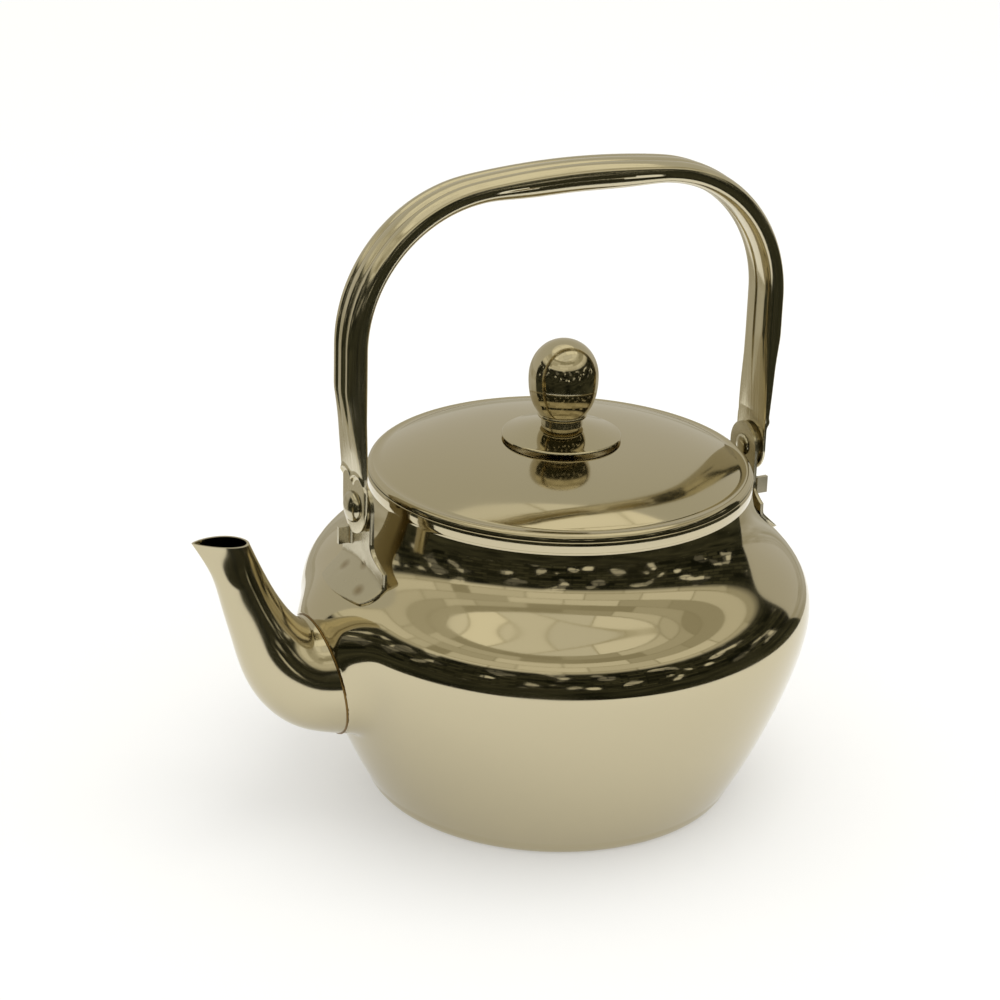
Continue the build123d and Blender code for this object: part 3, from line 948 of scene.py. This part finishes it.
def egg_outline(sizes):
    """The egg knob: a small foot ring, full sides, the widest place and a round top."""
    low, widest, top, radius = sizes.egg_bottom, sizes.egg_widest, sizes.egg_top, sizes.egg_radius
    foot, ring = 8.3 * MM, 1.4 * MM
    base, bead = foot - 0.6 * MM, foot + 0.5 * MM
    waist = (foot, low + ring)
    return chain(
        bezier([(0, low), (base, low)], 8),
        bezier([(base, low), (bead, low), (bead, low + ring), waist], 10),
        bezier([waist, (foot + 2.5 * MM, low + 4.4 * MM), (radius, widest - 6.5 * MM), (radius, widest)], 40),
        bezier([(radius, widest), (radius, widest + 7.4 * MM), (7 * MM, top), (0, top)], 44),
    )


class KETTLE_OT_make_lid(bpy.types.Operator):
    """Build the lid sheet and the two visible pieces of its knob"""

    bl_idname = "kettle.make_lid"
    bl_label = "Make the lid and knob"

    def execute(self, context):
        sizes = context.scene.kettle_lid
        finishes = context.scene.kettle_finishes
        lid = piece_from_grid("lid_sheet", turned(lid_outline(sizes), even_angles(256)))
        buffed = polished_steel("spun_polished_steel", finishes.polished, 0.06, 0.12, 0.05 * MM)
        finish_piece(lid, "lid", "polished_lid", buffed, "lid_shell")
        bright = polished_steel("bright_polished_steel", finishes.polished, 0.04, 0.09, 0.05 * MM)
        around = even_angles(160)
        saucer = piece_from_grid("knob_saucer_sheet", turned(saucer_outline(sizes), around), wrap_rows=True)
        finish_piece(saucer, "lid", "polished_knob", bright, "knob_saucer")
        egg = piece_from_grid("knob_egg_shell", turned(egg_outline(sizes), around))
        finish_piece(egg, "lid", "polished_knob", bright, "knob_egg")
        return {"FINISHED"}


class KETTLE_OT_finish_hidden_parts(bpy.types.Operator):
    """Give the CAD parts that stay visible their own steel"""

    bl_idname = "kettle.finish_hidden_parts"
    bl_label = "Finish the small parts"

    def execute(self, context):
        finishes = context.scene.kettle_finishes
        lathe = turned_steel("lathe_turned_steel", finishes.stamped, 0.5 * MM)
        skirt = polished_steel("rolled_skirt_steel", finishes.polished, 0.12, 0.2, 0.1 * MM)
        small = ("knob_boss", "knob_spacer", "knob_screw", "knob_screw_washer")
        washers = ("pivot_washer_front", "pivot_washer_rear")
        for node in small + washers + ("lid_skirt",):
            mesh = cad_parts[node].data
            mesh.materials.clear()
            mesh.materials.append(skirt if node == "lid_skirt" else lathe)
        return {"FINISHED"}


# The stage


def background_rays(tree):
    """Is 1 for the rays that see the background: camera, glossy and transmission rays."""
    path = add_node(tree, "ShaderNodeLightPath")
    seen = path.outputs["Is Camera Ray"]
    for name in ("Is Glossy Ray", "Is Transmission Ray"):
        either = add_node(tree, "ShaderNodeMath", {"operation": "MAXIMUM"}, {0: seen, 1: path.outputs[name]})
        seen = either.outputs[0]
    return seen


def floor_material(colour):
    """A pale floor that the camera and the metal see as white, with the kettle's shadow kept."""
    material = bpy.data.materials.new("pale_floor")
    material.use_nodes = True
    tree = material.node_tree
    shader = tree.nodes["Principled BSDF"]
    shader.inputs["Base Color"].default_value = (*colour, 1)
    shader.inputs["Roughness"].default_value = 0.9
    shader.inputs["Specular IOR Level"].default_value = 0.0
    shader.inputs["Emission Color"].default_value = (1, 1, 1, 1)
    lift = add_node(
        tree, "ShaderNodeMath", {"operation": "MULTIPLY", 1: FLOOR_LIFT}, {0: background_rays(tree)}
    )
    tree.links.new(lift.outputs[0], shader.inputs["Emission Strength"])
    return material


def studio_world(colour):
    """White where the background is seen, and a warmer, softer light on everything else."""
    world = bpy.data.worlds.new("studio")
    world.use_nodes = True
    tree = world.node_tree
    light = tree.nodes["Background"]
    light.inputs["Color"].default_value = (*colour, 1)
    light.inputs["Strength"].default_value = 0.9
    white = add_node(tree, "ShaderNodeBackground", {"Color": (1, 1, 1, 1), "Strength": 1.0})
    shaders = {0: background_rays(tree), 1: light.outputs[0], 2: white.outputs[0]}
    mix = add_node(tree, "ShaderNodeMixShader", links=shaders)
    tree.links.new(mix.outputs[0], tree.nodes["World Output"].inputs["Surface"])
    bpy.context.scene.world = world


def glowing_material(name, colour_of, strength=1.0):
    """The glow of a screen that only the metal sees; its colour comes from a small node tree."""
    material = bpy.data.materials.new(name)
    material.use_nodes = True
    tree = material.node_tree
    tree.nodes.clear()
    glow = add_node(tree, "ShaderNodeEmission", {"Strength": strength}, {"Color": colour_of(tree)})
    output = add_node(tree, "ShaderNodeOutputMaterial")
    tree.links.new(glow.outputs[0], output.inputs["Surface"])
    return material


def panels(first, second, line, width, height, gap, offset):
    """Settings for rows of panels in two colours, with a line of a third colour in the gaps."""
    return {
        "Color1": (*first, 1),
        "Color2": (*second, 1),
        "Mortar": (*line, 1),
        "Scale": 1.0,
        "Mortar Size": gap,
        "Brick Width": width,
        "Row Height": height,
        "offset": offset,
    }


def unrolled_wall(tree, place):
    """Metres round a wall of the room's radius, and metres up it, as the X and Y of a flat pattern."""
    turn = add_node(
        tree, "ShaderNodeMath", {"operation": "ARCTAN2"}, {0: place.outputs["Y"], 1: place.outputs["X"]}
    )
    around = add_node(tree, "ShaderNodeMath", {"operation": "MULTIPLY", 1: ROOM_RADIUS}, {0: turn.outputs[0]})
    flat = add_node(tree, "ShaderNodeCombineXYZ", links={"X": around.outputs[0], "Y": place.outputs["Z"]})
    return flat.outputs[0]


def room_material(finishes):
    """The screen that the metal mirrors: dark shelves with some pale cards, and pale panels above."""
    dark, green = finishes.room_dark, finishes.room_green
    light, middle = finishes.room_light, finishes.room_middle
    shelf_top, panel_foot = 1.1, 1.25
    patches_per_metre, card_threshold = 1.9, 0.6

    def wall(tree):
        coordinates = add_node(tree, "ShaderNodeTexCoord")
        place = add_node(tree, "ShaderNodeSeparateXYZ", links={"Vector": coordinates.outputs["Object"]})
        flat = {"Vector": unrolled_wall(tree, place)}
        shelf_rows = panels(dark, green, dark, width=0.3, height=0.11, gap=0.012, offset=0.4)
        card_rows = panels(light, dark, dark, width=0.5, height=0.18, gap=0.012, offset=0.27)
        panel_rows = panels(light, middle, middle, width=1.3, height=0.45, gap=0.015, offset=0.35)
        shelves = add_node(tree, "ShaderNodeTexBrick", shelf_rows, flat)
        cards = add_node(tree, "ShaderNodeTexBrick", card_rows, flat)
        upper = add_node(tree, "ShaderNodeTexBrick", panel_rows, flat)
        patch = add_node(tree, "ShaderNodeTexNoise", {"Scale": patches_per_metre, "Detail": 1.0}, flat)
        over = {"operation": "GREATER_THAN", 1: card_threshold}
        chosen = add_node(tree, "ShaderNodeMath", over, {0: patch.outputs["Fac"]})
        lower = add_node(
            tree,
            "ShaderNodeMix",
            {"data_type": "RGBA"},
            {"Factor": chosen.outputs[0], 6: shelves.outputs["Color"], 7: cards.outputs["Color"]},
        )
        rise = {"From Min": shelf_top, "From Max": panel_foot}
        above = add_node(tree, "ShaderNodeMapRange", rise, {"Value": place.outputs["Z"]})
        whole = add_node(
            tree,
            "ShaderNodeMix",
            {"data_type": "RGBA"},
            {"Factor": above.outputs[0], 6: lower.outputs[2], 7: upper.outputs["Color"]},
        )
        return whole.outputs[2]

    return glowing_material("room_screen", wall)


def backdrop_material(finishes):
    """The plain sheet behind the kettle: grey where it stands on the floor, a shade darker above."""

    def sheet(tree):
        coordinates = add_node(tree, "ShaderNodeTexCoord")
        place = add_node(tree, "ShaderNodeSeparateXYZ", links={"Vector": coordinates.outputs["Object"]})
        fade = {"From Min": 0.2, "From Max": 2.4}
        rise = add_node(tree, "ShaderNodeMapRange", fade, {"Value": place.outputs["Z"]})
        tones = two_colours(finishes.backdrop, finishes.backdrop_top)
        return add_node(tree, "ShaderNodeMix", tones, {"Factor": rise.outputs[0]}).outputs[2]

    return glowing_material("grey_backdrop", sheet)


def ceiling_material(finishes):
    """The ceiling over the kettle: large panels of two pale tones."""
    light, grey, line = finishes.room_light, finishes.backdrop_top, finishes.room_middle
    tiles = panels(light, grey, line, width=1.5, height=0.8, gap=0.02, offset=0.5)

    def ceiling(tree):
        place = add_node(tree, "ShaderNodeTexCoord")
        tiled = add_node(tree, "ShaderNodeTexBrick", tiles, {"Vector": place.outputs["Object"]})
        return tiled.outputs["Color"]

    return glowing_material("panelled_ceiling", ceiling, strength=1.3)


def far_floor_material(name, first, second):
    """The floor past the table's edge, as the metal mirrors it: two tones in soft patches."""

    def ground(tree):
        patch = noise_range(tree, 0.25, 0, 1, detail=2.0)
        mix = add_node(tree, "ShaderNodeMix", two_colours(first, second), {"Factor": patch.outputs[0]})
        return mix.outputs[2]

    return glowing_material(name, ground)


def screen_piece(name, material, bottom, top, span):
    """A strip of a cone round the kettle that only the metal sees.

    bottom and top are (radius, height) of its edges, and span is its half angle and middle angle in
    degrees. A point is at (r cos a, r sin a, z), with r and z going evenly from edge to edge.
    """
    half, middle = radians(span[0]), radians(span[1])
    angle = np.linspace(middle - half, middle + half, 65)
    grid = turned(np.array([bottom, top]), angle)
    index = np.arange(grid.shape[0] * grid.shape[1]).reshape(grid.shape[:2])
    mesh = bpy.data.meshes.new(name)
    mesh.from_pydata(grid.reshape(-1, 3), [], grid_faces(index))
    mesh.materials.append(material)
    piece = link_mesh(name, mesh)
    for ray in ("camera", "diffuse", "shadow", "transmission", "volume_scatter"):
        setattr(piece, f"visible_{ray}", False)


def table_floor(material):
    """The floor that the kettle stands on, a hair under it."""
    reach, drop = 6, 0.3 * MM
    corners = [(-reach, -reach, 0), (reach, -reach, 0), (reach, reach, 0), (-reach, reach, 0)]
    mesh = bpy.data.meshes.new("floor")
    mesh.from_pydata(corners, [], [(0, 1, 2, 3)])
    mesh.materials.append(material)
    floor = link_mesh("floor", mesh)
    floor.location.z = -drop


def soft_lamp(name, place, size, power, colour):
    """A large soft area lamp aimed at the kettle."""
    lamp = bpy.data.lights.new(name, "AREA")
    lamp.shape = "RECTANGLE"
    lamp.size, lamp.size_y = size
    lamp.energy = power
    lamp.color = colour
    holder = bpy.data.objects.new(name, lamp)
    holder.visible_glossy = False
    holder.location = place
    kettle_middle = Vector((0, 0, 0.08))
    aim = kettle_middle - Vector(place)
    holder.rotation_euler = aim.to_track_quat("-Z", "Y").to_euler()
    bpy.context.collection.objects.link(holder)


def place_camera():
    """The photograph's view: slightly above, from the spout's right, with a small roll."""
    lens = bpy.data.cameras.new("photo_view")
    lens.lens, lens.sensor_width = 98.67, 36
    lens.clip_start, lens.clip_end = 0.05, 50
    place = Vector((-0.4259, -0.7801, 0.4675))
    target = Vector((-0.01824, 0.00942, 0.10376))
    aim = (target - place).to_track_quat("-Z", "Y").to_matrix()
    roll = Matrix.Rotation(radians(1.81), 3, "Z")
    holder = bpy.data.objects.new("photo_view", lens)
    holder.matrix_world = Matrix.Translation(place) @ (aim @ roll).to_4x4()
    bpy.context.collection.objects.link(holder)
    bpy.context.scene.camera = holder


class KETTLE_OT_set_stage(bpy.types.Operator):
    """Set out the floor, the mirrored room, the lamp, the world and the camera"""

    bl_idname = "kettle.set_stage"
    bl_label = "Set the stage"

    def execute(self, context):
        finishes = context.scene.kettle_finishes
        table_floor(floor_material(finishes.floor))
        far, low, high = ROOM_RADIUS, -0.1 * MM, ROOM_HEIGHT
        table_edge = (TABLE_RADIUS, low)
        screen_piece("room_wall", room_material(finishes), (far, 0), (far, high), ROOM_SPAN)
        screen_piece("backdrop_sheet", backdrop_material(finishes), (far, 0), (far, high), BACKDROP_SPAN)
        screen_piece("ceiling", ceiling_material(finishes), (far, high), (0, high), FULL_SPAN)
        dark = far_floor_material("far_floor_front", finishes.room_dark, finishes.room_green)
        screen_piece("far_floor_front", dark, (far, low), table_edge, ROOM_SPAN)
        pale = far_floor_material("far_floor_back", finishes.backdrop, finishes.room_middle)
        screen_piece("far_floor_back", pale, (far, low), table_edge, BACKDROP_SPAN)
        studio_world(finishes.light)
        soft_lamp("ceiling_soft", place=(0.4, -0.4, 1.8), size=(1.6, 1.2), power=9, colour=(1, 0.99, 0.97))
        context.scene.view_settings.view_transform = "Standard"
        place_camera()
        return {"FINISHED"}


class KETTLE_PT_sidebar(bpy.types.Panel):
    """Sizes, colours and the steps that build the kettle"""

    bl_idname = "KETTLE_PT_sidebar"
    bl_label = "Stove kettle"
    bl_space_type = "VIEW_3D"
    bl_region_type = "UI"
    bl_category = "Kettle"

    def draw(self, context):
        for group in SETTINGS:
            box = self.layout.box()
            for name in getattr(context.scene, group).bl_rna.properties.keys():
                if name not in ("rna_type", "name"):
                    box.prop(getattr(context.scene, group), name)
        for step in STEPS:
            self.layout.operator(step.bl_idname)


SETTINGS = {
    "kettle_pot": KettlePotSizes,
    "kettle_spout": KettleSpoutSizes,
    "kettle_bail": KettleBailSizes,
    "kettle_lid": KettleLidSizes,
    "kettle_finishes": KettleFinishes,
}
STEPS = (
    KETTLE_OT_make_pot,
    KETTLE_OT_make_spout,
    KETTLE_OT_make_brackets,
    KETTLE_OT_make_bail,
    KETTLE_OT_make_lid,
    KETTLE_OT_finish_hidden_parts,
    KETTLE_OT_set_stage,
)


def register():
    """Registers the settings, the steps and the sidebar."""
    for kind in (*SETTINGS.values(), *STEPS, KETTLE_PT_sidebar):
        bpy.utils.register_class(kind)
    for name, kind in SETTINGS.items():
        setattr(bpy.types.Scene, name, PointerProperty(type=kind))


def unregister():
    """Takes back what register did."""
    for name in SETTINGS:
        delattr(bpy.types.Scene, name)
    for kind in (KETTLE_PT_sidebar, *reversed(STEPS), *reversed(SETTINGS.values())):
        bpy.utils.unregister_class(kind)


def main():
    """Builds the kettle step by step."""
    register()
    bpy.ops.kettle.make_pot()
    bpy.ops.kettle.make_spout()
    bpy.ops.kettle.make_brackets()
    bpy.ops.kettle.make_bail()
    bpy.ops.kettle.make_lid()
    bpy.ops.kettle.finish_hidden_parts()
    bpy.ops.kettle.set_stage()


if __name__ == "__main__":
    main()
